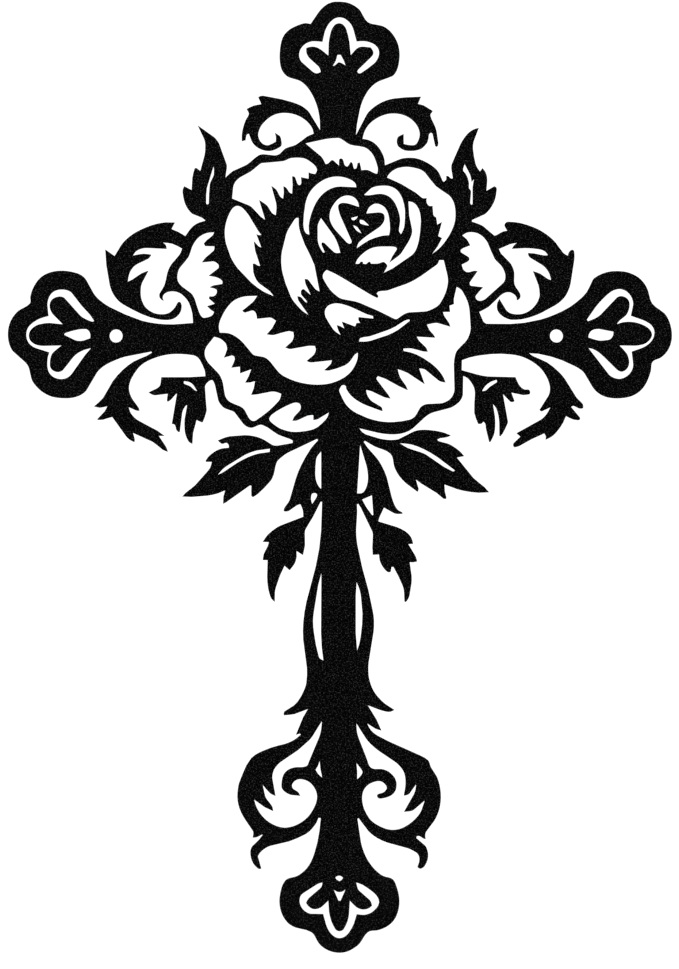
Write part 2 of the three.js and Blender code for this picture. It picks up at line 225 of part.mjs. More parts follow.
// The openings that are cut through the plate.
const OPENINGS = {
  topPetals: `
    -18.8,264 -21.5,262.7 -31,268 -37,273 -40.3,280 -39,287 -34,292.5 -28,295 -22,295
    | -17,294.5 -15.5,302 -12,310.5 -6.5,316.8 0,319 6.5,317 11.8,311.5 15,303 | 17.1,294.9
    26,295.1 33,293 38.5,288 39.5,282 37,275.5 31.5,270 24,265 20,262.6 18.3,263.5 20,268
    24.5,272.5 30,277.5 | 34,283 | 31.5,288.5 | 19.5,288.8 16,286 | 11.3,281 10.3,292 8,303
    5,310 0,312.7 -6,309.8 -9.2,302.5 -11,292 -11.3,284 | -11.2,280.5 -18,286 -24,289
    -28.5,289.3 | -33.3,288 -33,283 -29.5,277.5 -23,272 -19.5,267`,
  topArrow: `
    -2,281.5 | 1.5,281 4.3,275.5 | 6.2,270.5 3,272 0,273.7 -3.5,271.5 | -7,269.8 -3.5,276`,
  rightPetals: `
    247.5,16.3 | 248.5,14.7 255,17.3 262,22 269,29 275,36 279,39.3 285,39.2 289.5,35 290,29
    288,22.5 285,19 281,16 | 277.5,11.9 284,13.8 294,13.9 303.3,11.2 309.8,7 312.6,1.2 310.3,-4 305,-8
    299,-9.5 290,-9.7 | 280,-9.5 283,-12.5 287,-17 289.5,-23 289.5,-29 287,-33.5 282,-35.7
    279,-34.5 273,-29 266,-22 259,-16 253,-12.8 | 249,-12 256,-21 264,-31 270,-39 275,-42
    281,-42.8 287,-40.5 292,-35.5 294,-28 293,-21 | 292.5,-15.5 300,-13 308,-9 313,-4
    315.3,3 313,10 306,15 299,17.8 | 291.7,20.3 293.5,27 293.8,34 291,41 286,45.5 280,47
    273,45 266,39.5 258,31 252,23`,
  rightDrop: `
    249,-1.5 251,4 255,6.5 260,7 267,5.5 | 274.3,4.3 273.5,0 271,-3 266,-4.3 258,-4.3
    253,-2.5`,
  leftPetals: `
    -245.5,15 | -247.5,14.3 -253,16.5 -260,21 -266,28 -272,35 -277,39 -283,39 -288,36
    -290,30 -288,23.5 -284,18.5 | -277,11.7 -287,13 -297,12.5 -305,9.5 -310,4 -310.5,-2
    -307,-7 -302,-9.3 -292,-9.8 | -278,-9.5 -280.5,-12 -284.5,-14.7 -288,-18.5 -289.5,-25
    -289,-32 -285,-35.5 -280,-35.8 -274.8,-32 -270.2,-25.8 -264.2,-18.8 -256.8,-14.4 | -248.5,-12
    -256,-21 -262,-30 -268,-38 -273,-42 -280,-43 -287,-40.5 -291,-36 -292.5,-27 -292,-21
    | -290.5,-16.3 -298,-14 -305,-11.5 -311,-7 -313.5,0 -312.5,7 -308,12.5 -301,17
    | -291.3,20 -292.3,26 -292.3,33 -290.5,39.5 -286,44.5 -278,46.5 -270,44.5 -264,38
    -257,29 -250,21.5`,
  leftDrop: `
    -275.7,1.3 | -274.5,3 -266,5.5 -258,7 -252,6 -249.8,3 | -249.5,-2.3 -254,-4 -262,-4.8
    -268,-2.5`,
  footPetals: `
    -17.2,-546.7 -17.7,-550 -21,-554.5 -27,-559.5 -32,-564 | -33.5,-567 -31,-570.5
    -27,-573 -22,-573 -17,-570.5 | -11.3,-565 -10.7,-575 -9,-583 -6,-590.5 -2,-595 2,-595
    6,-590.5 9,-582 10,-573 | 10.4,-565 13,-567.5 17,-571.5 22,-573.5 28,-573
    | 32.6,-569.8 31,-565.5 26,-560.7 20,-555.6 17.3,-549.5 | 16.7,-546.7 20.5,-547.8
    27,-551.5 33.5,-556.3 38,-561.3 39.5,-566 37.5,-571.8 33.5,-576 28,-578.7 | 17.2,-578.7
    15.5,-585 11.7,-593.5 6.7,-600 0,-602.7 -6,-600.5 -11.3,-594 -14.7,-585 | -16.3,-578.5
    | -28.8,-578.3 -35.6,-574.8 -39.3,-569 -39.8,-563 -38,-559 -34,-556 -27,-551.8 -21,-547.7`,
  footArrow: `
    -5.8,-553.8 0,-556.3 | 6.3,-553.2 3.5,-559 | 1,-565.2 | -1,-565.2 -3.3,-560`,
  footDrop: `
    -4.3,-542 -2.7,-540.5 1.8,-540.5 | 3.6,-542.2 1.8,-544.6 | 0,-545.7 -2.2,-544.6`,
  upperLeftVein: `
    -126,170 -125.6,166 -125.8,161 -127.3,157 -129.2,153.5 -130.3,148 -130.8,140 -130.8,134
    -131.5,131.8 -132.8,131.8 -133.5,134 -133.4,141 -132.9,147 -131.3,154 -129,160.5
    -127.5,166`,
  upperRightVein: `
    125.3,172 129,165.5 131.8,158 | 132.3,154 | 134.5,157 133.3,151 133.2,142 133.2,132.8
    132.3,131.2 131,132.5 131,146 | 129.5,148 129.6,152 128.3,158 | 123.7,165.7 124.5,168`,
  leftSideVoid: `
    -125.3,103.8 -127.5,100 -131.6,96.9 | -135.8,92.4 | -134.6,90 | -125.2,89.8 -125.7,86
    -128.3,83 -132.5,79.8 | -137.6,73.7 -132,74 -127,74.8 -123.5,73.5 -120.8,69 -122.3,66.8
    -126.3,64.1 | -130.8,60.3 -124,59 -119.5,57 -117,53.7 | -117.3,52 -122,51.3 -127,50.3
    | -129.8,48.7 | -123.5,46.7 -122.8,43.5 -125,40.3 | -130,39.7 | -130.8,37.5 -127.5,34.7
    | -124.8,32.2 -128,30.8 | -132.5,29.8 -129.5,26.7 | -125.5,24 -126.7,21.5 -130,19.3
    | -136.8,18.5 -139.5,22 -143,31 -146.3,40 -149,43.3 -153,46 -158,50 -161.5,54.5 -162.3,60
    -161,66 -157,72 -152.5,77 -150,81.5 -148,88 -145,94 -140,99.5 -134,102.7`,
  rightSideVoid: `
    122.8,100.5 126,102.8 132,104 139,102.5 145,98 149.5,91 153,82 156.5,75.8 160,72.5
    164,67 166,60 165,55 161,50.5 155,45 149,39.5 144,36 140,35.2 137,36.7 136.2,39.5
    138.5,43 | 143.8,48.7 137,49.8 | 131.5,50.2 130.3,52.5 132.5,56.5 135.5,60.5
    | 138.2,64.7 134,65.1 129,63.8 125,65.2 122.8,69 | 122.3,71.5 126,73.3 129,75
    130,77 127.5,80 123.5,82.3 121.2,85 122.7,87.3 126.5,89.1 | 130.8,90.7 128.3,95.5`,
  outerLeftPetal: `
    -107.5,137.5 -107,145 -105,153 -100,158.5 -90,164 -84,168.5 -79,172.5 -72,174 -60,174.7
    -54,175.8 -50,177.8 -43,178.2 -36,178 -30,175 -25,171 -22.7,166.5 | -24.3,162 -28,162.5
    | -31,163.7 | -31,157.3 -34,157.5 | -38.7,158.8 -38.5,152.5 -40.3,150.7 -41.5,151.5
    -43.5,157 -45,159.3 | -47.5,159.5 -47,152 | -47.5,142.3 -50,143.5 -52.5,147.5
    | -56.2,149.8 -55.8,143 | -56.5,137.3 -59,139 -62.5,145.5 -65,148 | -68.3,150.2 -66.5,144
    -64,135.5 | -63.8,120.8 -67.5,123 -71.5,129.5 -75,132.5 | -80.5,136 -78,128.5
    | -74.5,116.3 -79,119.5 -85,126 -91,131 -99,134`,
  topPetal: `
    -34.2,192.8 -28,194.3 -20,196 -12,197.5 -5,198.2 0,198 3,196.5 6,194.3 9,192.3 13,191
    20,190.2 24,189.3 28,187.2 32,183.5 35,178.5 37.3,172.5 38.3,167 | 37.6,162.2 35,162.8
    31,165 26,166.3 | 22,165.8 21,169 | 20.3,173.5 | 18,173 17.3,169.5 16.3,167.2 14.8,167.2
    13.8,170 12.5,173.3 11.5,174 10.5,173 9,170.5 7.3,169.5 5.8,170.3 4.3,173.5 3,177
    1.5,177.7 0,177 -0.3,173 | -0.5,170.3 -2,171.5 -4,173.5 -7.5,175.8 -10.5,173.3
    | -13.8,171.8 -15,174 -17,178 -20,181 -25,184.7 -30,189`,
  leftCrescent: `
    16.8,148.7 16,152.5 12,156 4,159 -3,159.7 -12,158 -20,153.8 -27,147.5 -32,139.5
    -34.5,130 -36,117 -35.5,107 -32.5,102 | -30.2,101.3 -31,109 -29.5,118 -25.5,129.5
    -20.5,138 -13,145 -5,148.7 6,149.3`,
  middleCrescent: `
    24.3,141 28,145 34,149 42,150.5 50,150 57,146.5 62.5,138.5 65.3,128 65.5,117 64,107
    | 61.5,101.8 60.3,103 60.5,112 60,121 57,130 52.5,137 46,141.2 38,142 31,140.8`,
  heartLeft: `
    19.5,129 18.5,134 14.5,138.8 8,140.7 0,138 -6,131.5 -9.7,123 -9.5,116 -6,108.5 0,101.5
    6,95 9.5,92.3 11.8,93 11.2,97 7.2,106 3.1,115 -0.4,124 | -1.4,130.3 1,132.6 6,133 13,131.3`,
  heartRight: `
    26.8,122.5 29.5,128.5 34,132 39,132.3 45,129 49,121 50.3,112 50.3,104 | 49.5,100.8
    43,100.3 35,97.8 26,94 21,90 | 17.3,87.8 18.5,92 23.4,97.3 30.3,102.4 37.3,106.9 42.8,112
    45.3,118 44,122 38,123.5 31,122.8`,
  heartNickTop: `
    11.8,118.3 15.5,118.8 | 18.6,120 16.5,117 13.8,115.7`,
  heartNickRight: `
    20.7,116.5 20.5,113.3 25,111 | 29.8,110.2 27,113 23.5,116`,
  heartNickLow: `
    13.3,111 17,109.5 20,106.5 | 22.3,102.5 17.5,105 14.5,108.5`,
  rightCrescent: `
    69,134.8 72.5,134.2 76.5,131.5 79.5,126.5 81.3,118 81,108 79.8,98 77.5,89 74,82.5
    69.5,78.8 60.6,72.7 52.5,67.2 | 44.3,63.2 46.5,67 47.8,70.3 46.5,72.3 44,74 41.5,73.3 39,72.5
    36,72.3 | 31.5,72.3 30.8,73.8 29.5,74.3 28,73.5 | 26.5,72 | 23.5,72.3 22.8,74.3 21,74
    | 19.5,72.3 | 16,72.2 17.3,75.6 21.6,80.9 26.5,85 32.2,88 40,89.5 50,89.7 54.8,89.3 57.3,87.6
    56.5,85.3 53,80 | 49.8,73.3 54,76.5 60,81 66,89 70.5,97 72.7,104 71.8,111 70,119
    69.3,127`,
  outerRightPetal: `
    47.5,158.5 50,162.5 55,166.5 63,169.2 74,168.7 83,165.5 90,158.5 96,150.5 103,145.3
    110,140.5 114,134.5 116,125 115.5,115 112,105 106,95 98,86 | 92.6,82 98.7,90.3 | 102.6,97.9
    | 98.8,99.8 100.8,106 | 102.5,114 | 97.7,111.4 | 96.7,118.4 94.6,120 93.4,125
    | 93.1,130.2 89.2,130.5 87.4,133 | 87.3,138.1 82.5,138.2 78,142 70,146.8 60,153 50,157.3`,
  broadLeftPetal: `
    -66,39.8 -70,41.2 -77,45 -84,49.8 -92,57 -100,65.5 -107,75.5 -112,87 -114.5,98
    -114.8,106 -112.5,117 -109,125 -103,130.2 -97,128 -90,119.5 -85,111.5 -81,104.5
    | -78.2,101 -81,100.9 | -83.3,101.9 -81.5,96 | -78.3,88.5 -81,89.8 -83,92.3 | -85.8,95
    -85,88 -83.5,82 -81,75.5 | -79.5,70 -82,70.6 -84,72 | -86.7,72.3 -86.5,65 -85,59.5
    -81,53.3 -76,49.5 -70,45`,
  innerLeftPetal: `
    -41,118.3 -41,112 -39.5,104 -36.5,95.5 -32.5,86.5 -28,78 -25,70.5 -23,61 -21.7,52
    | -20,44.5 -22,45.2 -25.5,48.5 -29,53.3 -31.3,56.2 | -35,56.8 -34,52 -31,46.5
    | -28.7,40.8 -31,42.8 -34,45.7 -37,46.7 -38.6,44.5 -37.5,40 -34,36.5 | -32.3,33.3
    -34.5,34.3 -37,37.5 | -42.3,39.8 -41.5,36 -38.5,32 -35.5,28 | -31,21 -35,23.5 -41,29
    -46,35 -50.5,43 -54.5,54.5 -57.5,66 -58.3,76 -57,88 -54.5,98 -50.5,108 -46,115
    -43.5,118`,
  innerLeftSliver: `
    -18.5,118 -13,110.5 -7,102.5 -3,95 0,87 | 0.8,83.3 -3,83 -8,85.7 -12,90 -15,93 -17,93.7
    -18,92 -16.8,88 | -14.8,84 -15.5,83.3 -17.5,85 -20,89.5 -21.8,97 -22.2,105 -21.3,112`,
  centrePetal: `
    -12.5,66 -5,62.5 2,58.8 12,53 22,47 31,41.5 35,39.3 38.3,38.5 38.8,40.3 | 37,42.5
    38,43.8 45,45 55,48.3 65,51.5 75,56 85,62.5 93,68.5 98,72 | 99.8,76 | 104.3,76 105.5,70
    107.5,63 108.5,54 107,46 103.5,37.5 98,30 93,27 88,25 78,24.3 70,23.7 64,21.5 | 59,18
    57.5,17 55,17.2 48,20.5 38,25.5 27,30.3 17,34.2 8,36 2,37.3 -4,41 -10,47 -14.5,54
    -16.7,60 -15.5,63.5`,
  budPetal: `
    33.5,20 | 33.8,17.4 27,17.7 | 19,18.9 18.8,17 | 20.8,13.2 | 17,13 | 15.6,9.5 9,11.6
    | 2.2,14.5 3,11.5 | 4.8,7.3 1.5,9.5 | -2.9,10.9 -2,7.5 | 1.2,0.8 -3,3.6 -7,7.6 -11,13.5
    -13.8,19 -14.6,24.5 -12.5,29.2 -8,32 -2,32.7 5,31.3 13,28.4 21,24.7 28,21.5`,
  budSlit: `
    19.6,-5.6 28,-5.3 38,-2.8 48,0.8 58,5.8 65,10.8 | 70.4,15.3 | 69.8,16.7 65.5,15.5
    59,11.3 50,6.6 40,2.9 30,-0.4 | 21,-2.1`,
  lowerLeftPetal: `
    -82.3,40.2 -84.5,36.5 -88.5,32.3 -93,29 | -97.3,25.2 -95,23.6 -90,24.9 -85.7,25.1
    -83.9,23 | -82.5,17.2 -76,17.7 -70,18.5 -67,17.5 | -63.5,15.2 -65.5,11 -69,5.7
    | -72.8,1.7 -69,1 -62,1.8 -56,3.8 -51,4.9 | -46.3,4 -45.8,0 -47.5,-5 -51,-8.5
    | -54.3,-11.5 -49,-13 -43,-12 -35,-10.5 -29,-9.7 | -24.7,-10 -23.8,-12.5 -24.3,-16
    -26.5,-19.5 -30,-22.3 | -33,-25 -30,-26.2 -22,-25.7 | -7.7,-24.3 -8.5,-27.5 -11.5,-30.5
    | -15.5,-34.3 -12,-34.8 -5,-32.8 3,-30.5 9,-26.8 12.5,-23 15,-19 | 18.3,-16.7 18.3,-21
    16.5,-27 13,-33.5 8,-39 0,-44 -8,-47 -18,-48.6 -30,-48.2 -40,-46.4 -50,-43 -60,-37
    -66,-29.8 -71,-24 -76,-21 -80,-20.3 -85,-19.2 -90,-14.8 -95,-8.3 -100,-3.4 -106,0.8
    -112,3 | -119.8,3.3 -120.8,8.5 -119.5,15.5 -116.3,22.5 -111,30.5 -104,36.5 -96,39.4
    -89,40.1`,
  lowestLeftPetal: `
    -125.5,-0.8 -121,-2 -116,-5.2 -113,-9.7 -112.6,-13.5 -114.3,-17.5 | -115.7,-21.7
    -112,-20.7 -107,-19.7 -105,-21.5 -105.7,-26 | -108.3,-31.7 -104,-30.8 | -99.6,-30.7
    | -99.6,-37.4 -94,-35 | -88.3,-33.3 -90,-38 | -94.4,-46.7 -90,-46.6 | -84.6,-45.2
    -85.5,-51 | -88.5,-59 -80,-58 -73,-56.3 -66,-55.7 | -58.4,-57.8 -60,-63.5 -64.5,-69
    -71,-75 -78,-80.5 -83,-84 -86.5,-85 -90,-82.8 -93,-77.5 -96.5,-72.3 -101,-69.6
    -107,-67.3 -111,-64.8 -114.3,-60 -115.8,-52 -117.2,-45 -120,-39 -125,-33.3 -130.5,-27.7
    -134.2,-21.5 -135,-16.5 -133.5,-11.3 -130,-6.5`,
  lowLeftPetal: `
    -10.7,-76.6 -12,-80.7 -15.5,-85.5 -20.5,-90 -27,-93.5 -35,-95.2 -48,-95.8 -55,-94.2
    -62,-91 -67,-87.3 -70.2,-83 -69,-80 -65,-76.8 -59,-73 -53,-70 -47,-67.3 -42,-66.8
    -39.4,-68.7 -38.8,-72 -40.7,-75.7 -44.5,-79.5 | -47.2,-84.9 -44,-84.9 -38,-82.7
    -32,-79.8 | -26.3,-79.2 | -26.2,-84.2 -21.5,-83.2 -17,-80.2`,
  lowerRightPetal: `
    117.3,49.2 121.5,46.5 125.5,40.7 128.7,33 130.5,22 131.3,10 130,1.5 126.7,-4.8
    121.7,-10 117.6,-14.6 115.2,-21 114.4,-30 114.9,-40 115.3,-50 114.3,-57 111.3,-62.3
    106,-65.9 100,-67.6 92,-67.8 84.7,-68.8 80.7,-71.7 78.1,-76.6 74.4,-81.3 69.3,-83.9 60,-85.5
    50,-86.2 40,-85.2 30,-82.7 20,-78.6 11.3,-73.4 5.2,-66.5 1.4,-58.9 0,-53 | 1.3,-51 6,-50
    | 6.5,-52.5 10,-58 16,-63.5 24,-68.2 33,-71.8 | 43,-75.4 42.3,-71.7 38,-68.5 32.5,-65.3
    29,-61.3 27.3,-57.5 | 26.7,-54 33,-55.7 41,-59.8 | 51.2,-62.7 48.5,-58.3 43.5,-52.3
    40,-47 37.3,-41.5 | 38.5,-40.2 44,-42 50.5,-45.2 58,-49.5 | 68.4,-54.3 66.5,-49.7
    62,-43.7 59.3,-38 | 58.2,-33.2 64,-35 71,-38.7 78,-43.8 | 85.3,-48.3 83.5,-43.5
    81,-37.3 | 79.7,-32.5 85,-33.4 91,-37.5 97,-43 100.5,-45.2 | 106.2,-46.5 104,-41.3
    100.5,-36 95,-30.2 88,-24.8 80,-20 72,-16.7 | 64.2,-15 | 63.8,-12.6 69,-12.2 76,-13.2
    83,-15.3 | 88.4,-15.7 86.5,-11.5 82.3,-7.5 79,-4 | 77.3,-0.7 86,-1.5 | 95.8,-1.7
    93.5,2 90.3,5.5 88.5,9 | 87.5,11.4 95,12.9 100,12.7 105,10.8 | 111,9.3 109,14 106,18
    | 103.5,24 | 110.7,24.2 | 110,30.3 | 114.6,32 114.3,36 115.3,41`,
  lowerRightVein: `
    60.5,-107.3 70,-108.2 78,-110.5 87,-114.7 97,-120.6 106,-127.2 | 115.5,-134.5
    | 113.8,-135.7 106,-131.8 97,-125.7 89,-120 80,-115.8 70,-112.7`,
  lowerLeftVein: `
    -69.6,-112.8 | -70,-116 -80,-117.3 -90,-120.5 -100,-125.5 -109,-131 -116,-136
    | -121.8,-139 -119.5,-136 -113,-130.3 -103,-123.7 -92,-117.8 -80,-114`,
  rightDroopingVein: `
    142.7,-55.2 146,-54.6 149.5,-51.5 153.5,-48.8 | 157.7,-46 | 157.3,-43.8 151,-46.2
    146.3,-49.8`,
  leftDroopingVein: `
    -155.8,-45.2 -151.5,-45.8 -147.8,-47.7 -145,-51 | -142.5,-55.2 -145.5,-53.7
    -148.3,-51 -152,-49 | -155.6,-47.5`,
  leftStemSlit: `
    -18.4,-115.8 -18.3,-130 -18.3,-145 | -18.4,-153 -21.3,-149.5 -23.7,-143 -24.1,-132
    -22.8,-122`,
  rightStemSlit: `
    20.7,-109.3 23,-116 26,-126 28.2,-137 28.3,-145 26.5,-152 23.7,-156.2 | 17.7,-157.4
    18.5,-148 19,-135 19.7,-120`,
  leftStemDrop: `
    -27.7,-158.3 -25,-157.2 -22.6,-158.7 -23.3,-161.7 | -27.3,-168 -28.5,-163`,
  rightStemDrop: `
    32.4,-159.5 27.5,-161.3 | 22.7,-163.7 25.5,-169 | 32.7,-179.3 | 33.8,-179 33,-170`,
  leftRibSlit: `
    -18.2,-237.6 -18.3,-250 -18.6,-280 -18.5,-300 -17.5,-315 | -16.2,-324.8 | -20.5,-321.5
    -22.5,-311 -25.3,-298 -26.4,-285 -24.6,-270 -22,-254 -19.9,-243`,
  rightRibSlit: `
    17.2,-246.5 19.7,-253 21.5,-261 22.7,-272 22.7,-286 21.5,-298 19.8,-308 | 17.7,-314.6
    16.6,-305 16.5,-280 16.4,-258`,
  leftFootSlit: `
    -19.9,-425.3 -19.2,-433 | -17.3,-442 -21,-438.7 | -24,-434 -21.7,-430.5`,
  rightFootSlit: `
    17,-427.3 19.5,-430.3 | 22.9,-436.3 20.7,-440.7 | 17.7,-443.6 17.8,-435`,
  leftFootScroll: `
    -17.6,-385.4 -18.1,-391.5 -20.2,-400.8 -24.3,-410.8 -28.7,-421.2 -31.8,-428 | -33.5,-430.6
    -42,-431.3 -50,-433.3 -55.5,-438 -58,-446 -57.8,-452 -54,-456.5 -48,-459.2
    | -39.3,-460 -42,-456 -46,-453.5 -47.5,-450.5 -46,-446.5 -42,-443.8 -36,-443.8
    -30,-446.5 -25.5,-451.5 -22.8,-458 -23,-465 -26,-473 -31,-480.5 -38,-486.5 -46,-490.5
    -56,-492 -64,-490 -72,-485.5 -78.5,-479 -83,-471.5 | -85.5,-463.8 -79.5,-468.3
    -73,-472.5 | -66.3,-475.3 -67.5,-470.5 -72,-464.7 -75.5,-457 | -77,-448.9 -73,-453.3
    -70,-457 | -64,-460.2 -65,-453 -67,-445 -66.7,-438 -64.3,-432 -59,-426.3 -51,-420.7
    -43,-415.5 -34,-408 -27,-400.5 -23,-393.5`,
  rightFootScroll: `
    16.9,-387.7 22,-395.7 27,-403.5 33,-410 42,-417 52,-423.5 60,-430 64.5,-437 66,-445
    65.7,-452 | 64.3,-459.8 69,-458.5 73,-454 | 76.7,-448.5 75.7,-455 72.5,-462.5
    68.5,-469.7 | 64.6,-476 71,-475.3 76,-473 80.7,-468.3 | 85.3,-464.7 83.5,-470.7 79.9,-478.4
    74.5,-484.6 67,-490.3 57,-494 50,-494 41,-491 33,-486 27,-478.5 23.5,-469 22.8,-460
    24.7,-453.6 29,-448.8 35,-446 41,-445.5 46,-449 47.2,-452.5 45,-456 41,-458
    37.7,-459.2 38,-461.7 44,-462.3 50,-460.5 55,-456.5 57.2,-450 56,-443.5 52.5,-438.5
    47,-434.8 40,-433 | 31.8,-432.2 28,-424.5 23,-412 18.5,-400`,
};

// A drawing's points on its squares, one list for each stretch that starts at a corner.
function stretchesOf(drawing) {
  return drawing.trim().split('|').filter((stretch) => stretch.trim()).map((stretch) => (
    stretch.trim().split(/\s+/).map((pair) => new THREE.Vector2(...pair.split(',').map(Number)))
  ));
}

const wholeEdge = Object.values(OUTER_EDGE).join(' ');
const drawnBox = new THREE.Box2().setFromPoints(stretchesOf(wholeEdge).flat());
const squareSize = new THREE.Vector2(WIDTH, HEIGHT).divide(drawnBox.getSize(new THREE.Vector2()));

// The corner-to-corner strokes of a drawn outline, each a list of points in millimetres.
function strokesOf(drawing) {
  const starts = stretchesOf(drawing).map((stretch) => (
    stretch.map((point) => point.sub(ARMS_MIDDLE).multiply(squareSize))
  ));
  return starts.map((stroke, index) => [...stroke, starts[(index + 1) % starts.length][0]]);
}

// The angle from each chord to the curve where it leaves the chord's first point.
// They are chosen so that the curve bends equally hard on both sides of every point.
function leavingAngles(lengths, turns) {
  const count = lengths.length;
  const rows = [{ before: 0, here: 1, after: 1, sum: -turns[1] }];
  for (let k = 1; k < count; k += 1) {
    rows.push({
      before: 1 / lengths[k - 1],
      here: 2 / lengths[k - 1] + 2 / lengths[k],
      after: 1 / lengths[k],
      sum: -2 * turns[k] / lengths[k - 1] - turns[k + 1] / lengths[k],
    });
  }
  rows.push({ before: 1, here: 1, after: 0, sum: 0 });
  for (let k = 1; k <= count; k += 1) {
    const share = rows[k].before / rows[k - 1].here;
    rows[k].here -= share * rows[k - 1].after;
    rows[k].sum -= share * rows[k - 1].sum;
  }
  const angles = new Array(count + 1);
  angles[count] = rows[count].sum / rows[count].here;
  for (let k = count - 1; k >= 0; k -= 1) {
    angles[k] = (rows[k].sum - rows[k].after * angles[k + 1]) / rows[k].here;
  }
  return angles;
}

// How far a handle reaches, as a share of the chord, where the curve leaves and arrives at these angles.
function handleReach(leaving, arriving) {
  const lean = (Math.sin(leaving) - Math.sin(arriving) / 16) * (Math.sin(arriving) - Math.sin(leaving) / 16);
  const rise = 2 + Math.SQRT2 * lean * (Math.cos(leaving) - Math.cos(arriving));
  const root = Math.sqrt(5);
  return rise / (3 * (1 + (root - 1) / 2 * Math.cos(leaving) + (3 - root) / 2 * Math.cos(arriving)));
}

// The smooth curves, one per chord, that run through a stroke's points.
function curvesThrough(points) {
  if (points.length === 2) return [new THREE.LineCurve(points[0], points[1])];
  const chords = points.slice(1).map((point, k) => point.clone().sub(points[k]));
  const turns = chords.map((chord, k) => {
    if (k === 0) return 0;
    const turn = chord.angle() - chords[k - 1].angle();
    return Math.atan2(Math.sin(turn), Math.cos(turn));
  });
  turns.push(0);
  const leaving = leavingAngles(chords.map((chord) => chord.length()), turns);
  const origin = new THREE.Vector2();
  return chords.map((chord, k) => {
    const arriving = -turns[k + 1] - leaving[k + 1];
    const first = chord.clone().rotateAround(origin, leaving[k]);
    const second = chord.clone().rotateAround(origin, -arriving);
    return new THREE.CubicBezierCurve(
      points[k],
      points[k].clone().addScaledVector(first, handleReach(leaving[k], arriving)),
      points[k + 1].clone().addScaledVector(second, -handleReach(arriving, leaving[k])),
      points[k + 1],
    );
  });
}

function distanceToEdge(point, start, end) {
  const along = end.clone().sub(start);
  const reach = along.lengthSq() > 0 ? point.clone().sub(start).dot(along) / along.lengthSq() : 0;
  return point.distanceTo(start.clone().addScaledVector(along, THREE.MathUtils.clamp(reach, 0, 1)));
}

// The fewest of the points whose straight edges stay within CURVE_ERROR of the others.
function thinned(points) {
  const [start, end] = [points[0], points[points.length - 1]];
  const gaps = points.map((point) => distanceToEdge(point, start, end));
  const widest = Math.max(...gaps);
  if (widest <= CURVE_ERROR) return [start, end];
  const split = gaps.indexOf(widest);
  return [...thinned(points.slice(0, split + 1)), ...thinned(points.slice(split)).slice(1)];
}

// The closed polygon of a drawn outline.
function polygonOf(drawing) {
  return strokesOf(drawing).flatMap((stroke) => {
    const fine = curvesThrough(stroke).flatMap((curve) => curve.getPoints(STEPS_PER_CURVE).slice(0, -1));
    return thinned([...fine, stroke[stroke.length - 1]]).slice(0, -1);
  });
}

// The sheet with everything cut out but the screw holes, its back in the plane y = 0.
// The outline is turned anticlockwise, because only then are the openings turned to match it.
function cutSheet() {
  const outline = new THREE.Shape(polygonOf(wholeEdge).reverse());
  outline.holes = Object.values(OPENINGS).map((drawing) => new THREE.Path(polygonOf(drawing)));
  const sheet = new THREE.ExtrudeGeometry(outline, { depth: SHEET, bevelEnabled: false });
  return sheet.rotateX(Math.PI / 2);
}

// A round cutter along Y that reaches out of both faces of the sheet.
function screwCutter(x) {
  const cutter = new THREE.CylinderGeometry(SCREW_HOLE / 2, SCREW_HOLE / 2, 3 * SHEET, ROUND_SIDES);
  return cutter.translate(x, -SHEET / 2, SCREW_RISE);
}

const wasm = await Module();
wasm.setup();

function solidOf(geometry) {
  const bare = geometry.clone();
  bare.deleteAttribute('normal');
  bare.deleteAttribute('uv');
  const merged = mergeVertices(bare, WELD_DISTANCE);
  return new wasm.Manifold(new wasm.Mesh({
    numProp: 3,
    vertProperties: merged.attributes.position.array,
    triVerts: new Uint32Array(merged.index.array),
  }));
}

function geometryOf(solid) {
  const { vertProperties, triVerts } = solid.getMesh();
  const indexed = new THREE.BufferGeometry();
  indexed.setAttribute('position', new THREE.BufferAttribute(vertProperties, 3));
  indexed.setIndex(new THREE.BufferAttribute(triVerts, 1));
  const faceted = indexed.toNonIndexed();
  faceted.computeVertexNormals();
  return faceted;
}

function rosePlate() {
  const left = solidOf(screwCutter(SCREW_SHIFT - SCREW_SPACING / 2));
  const right = solidOf(screwCutter(SCREW_SHIFT + SCREW_SPACING / 2));
  const solid = solidOf(cutSheet()).subtract(left).subtract(right);
  const plate = new THREE.Mesh(geometryOf(solid), POWDER_COAT);
  plate.name = 'rose_cross_plate';
  return plate;
}

const cross = new THREE.Group();
cross.add(rosePlate());

export default cross;
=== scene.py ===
"""The black powder-coated steel cross, hanging upright over a pale floor in soft light."""

import math

import bmesh
import bpy
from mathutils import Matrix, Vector
from mathutils.geometry import intersect_line_line_2d


